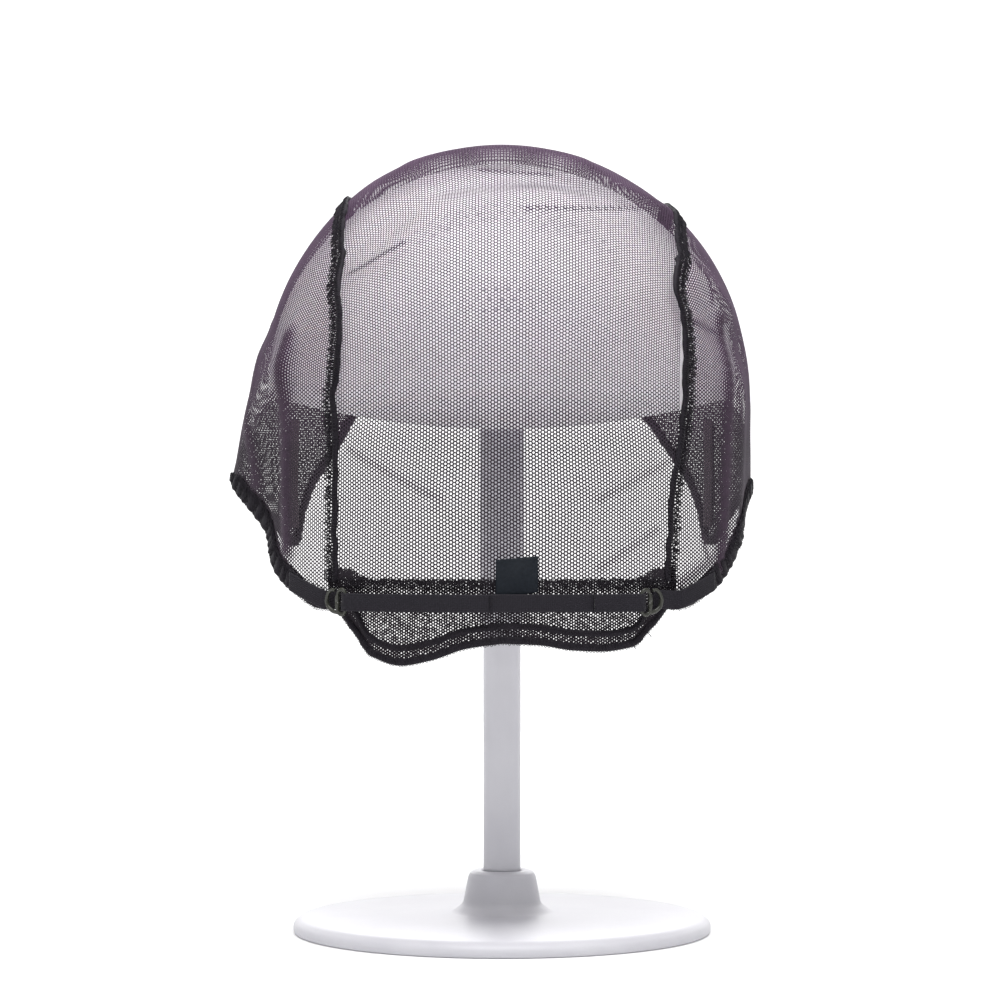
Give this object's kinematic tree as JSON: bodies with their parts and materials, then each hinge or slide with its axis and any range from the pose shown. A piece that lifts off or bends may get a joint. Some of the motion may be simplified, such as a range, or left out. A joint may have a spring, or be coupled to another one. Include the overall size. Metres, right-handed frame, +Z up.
{
  "type": "wig cap on dome stand",
  "caption": "Stretch-net wig cap with lace nape band, hooked elastic strap and boned ear tabs, on a plain white dome stand",
  "frame": {"origin": "the underside of the stand's foot, on the pole's axis", "axes": "+Z up along the pole, +Y toward the cap's front hairline, -Y toward the nape, +X to the wearer's right"},
  "size_m": [0.1893, 0.1806, 0.2824],
  "materials": {
    "net": "fine stretch net of dark purple-brown polyester thread",
    "lace": "dense dark stretch lace",
    "thread": "overlocked dark thread",
    "elastic": "woven dark elastic",
    "satin": "black satin ribbon",
    "bone": "dark flexible plastic stay",
    "casing": "thin purple-brown tape",
    "hook_plastic": "smoky moulded plastic",
    "dome_plastic": "thin translucent white plastic",
    "stand_plastic": "satin white plastic"
  },
  "bodies": {
    "root": {"crown_panel": "net", "side_panel_left": "net", "side_panel_right": "net", "nape_band": "lace", "ear_tab_left": "lace", "ear_tab_right": "lace", "seam_left": "thread", "seam_right": "thread", "nape_binding": "thread", "front_binding": "thread", "ear_hem_left": "thread", "ear_hem_right": "thread", "tab_binding_left": "thread", "tab_binding_right": "thread", "nape_elastic": "elastic", "nape_strap": "elastic", "loop_tape_left": "elastic", "loop_tape_right": "elastic", "label_tab": "satin", "stay_left": "bone", "stay_right": "bone", "stay_casing_left": "casing", "stay_casing_right": "casing", "strap_hook_left": "hook_plastic", "strap_hook_right": "hook_plastic", "stand_dome": "dome_plastic", "stand_hub": "stand_plastic", "stand_pole": "stand_plastic", "stand_base": "stand_plastic"}
  },
  "joints": []
}
